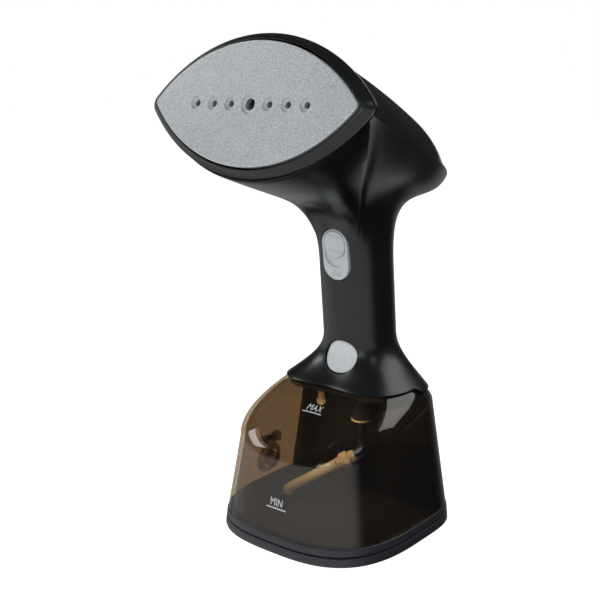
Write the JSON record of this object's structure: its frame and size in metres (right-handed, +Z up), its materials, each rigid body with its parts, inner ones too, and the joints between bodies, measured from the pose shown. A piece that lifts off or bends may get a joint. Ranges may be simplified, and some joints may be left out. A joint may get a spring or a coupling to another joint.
{
  "type": "garment steamer",
  "caption": "Hand-held garment steamer: pointed-oval steam plate on a lofted head, upright grip with trigger and release button, clear smoked water tank as its foot.",
  "frame": {"origin": "on the floor, under the middle of the foot's width; the tank's flat foot rests on z = 0", "axes": "+Z up the grip, -Y the way the steam plate faces, X across the plate"},
  "size_m": [0.1412, 0.1617, 0.2703],
  "materials": {
    "plate_metal": "sand-textured anodised face",
    "cast_metal": "as cast",
    "gloss_black": "polished",
    "satin_black": "satin moulded",
    "grey_plastic": "satin moulded",
    "pale_plastic": "smooth moulded",
    "smoke_plastic": "clear tinted, polished",
    "slate_plastic": "satin moulded",
    "amber_silicone": "translucent",
    "amber_plastic": "moulded",
    "black_rubber": "moulded",
    "red_silicone": "moulded",
    "white_hose": "extruded",
    "steel": "plated",
    "brass": "turned",
    "ceramic_white": "moulded",
    "board_green": "solder resist",
    "board_parts": "moulded",
    "dark_plastic": "moulded",
    "copper_winding": "enamelled wire",
    "wire_insulation": "extruded"
  },
  "bodies": {
    "housing": {"head_cover": "gloss_black", "front_shell": "satin_black", "rear_shell": "satin_black", "spine_shell": "satin_black", "dock_plate": "satin_black", "plate_bezel": "satin_black", "steam_plate": "plate_metal", "plate_gasket": "red_silicone", "heater_block": "cast_metal", "heating_element": "steel", "boiler_bracket": "ceramic_white", "bracket_screws": "steel", "thermostat": "ceramic_white", "thermal_fuse": "steel", "steam_inlet": "brass", "steam_hose": "white_hose", "control_board": "board_green", "board_parts": "board_parts", "power_wires": "wire_insulation", "pump_frame": "steel", "pump_coil": "copper_winding", "pump_tube": "dark_plastic", "pump_spring": "steel", "pump_grommets": "black_rubber", "feed_hose": "amber_silicone", "water_nipple": "dark_plastic", "nipple_seal": "black_rubber", "shell_screws": "steel", "cord_gland": "black_rubber", "cord_clamp": "ceramic_white", "steam_switch": "dark_plastic", "switch_bracket": "satin_black", "trigger_spring": "steel", "release_spring": "steel", "button_guide": "satin_black"},
    "tank": {"tank_shell": "smoke_plastic", "tank_band": "slate_plastic", "foot_ring": "slate_plastic", "foot_screws": "steel", "valve_housing": "satin_black", "valve_seal": "black_rubber", "suction_pipe": "dark_plastic", "hose_connector": "amber_plastic", "suction_hose": "amber_silicone", "strainer": "dark_plastic", "air_vent": "amber_plastic", "latch_lug": "satin_black", "filler_pin": "satin_black"},
    "cap": {"filler_cap": "black_rubber", "filler_seal": "black_rubber"},
    "trigger": {"steam_trigger": "grey_plastic"},
    "lock": {"lock_slider": "grey_plastic"},
    "release": {"release_button": "pale_plastic"},
    "plunger": {"pump_plunger": "steel"}
  },
  "joints": [
    {"name": "trigger_press", "type": "slide", "parent": "housing", "child": "trigger", "axis": [0, 0.9917, 0.1288], "range_m": [0, 0.0025], "stiffness_N_per_m": 700, "springref_m": -0.001, "deforming": ["trigger_spring"]},
    {"name": "lock_slide", "type": "slide", "parent": "trigger", "child": "lock", "axis": [0, 0.1288, -0.9917], "range_m": [0, 0.005]},
    {"name": "release_press", "type": "slide", "parent": "housing", "child": "release", "axis": [0, 1, 0], "range_m": [0, 0.0032], "stiffness_N_per_m": 600, "springref_m": -0.001, "deforming": ["release_spring"]},
    {"name": "plunger_stroke", "type": "slide", "parent": "housing", "child": "plunger", "axis": [0, 0, 1], "range_m": [0, 0.003], "stiffness_N_per_m": 300, "springref_m": -0.001, "deforming": ["pump_spring"]},
    {"name": "tank_off", "type": "slide", "parent": "housing", "child": "tank", "axis": [0, 0, -1], "range_m": [0, 0.1]},
    {"name": "cap_hinge", "type": "hinge", "parent": "tank", "child": "cap", "pos_m": [-0.05359, 0.004, 0.03417], "axis": [0, 1, 0], "range_deg": [0, 110]}
  ]
}
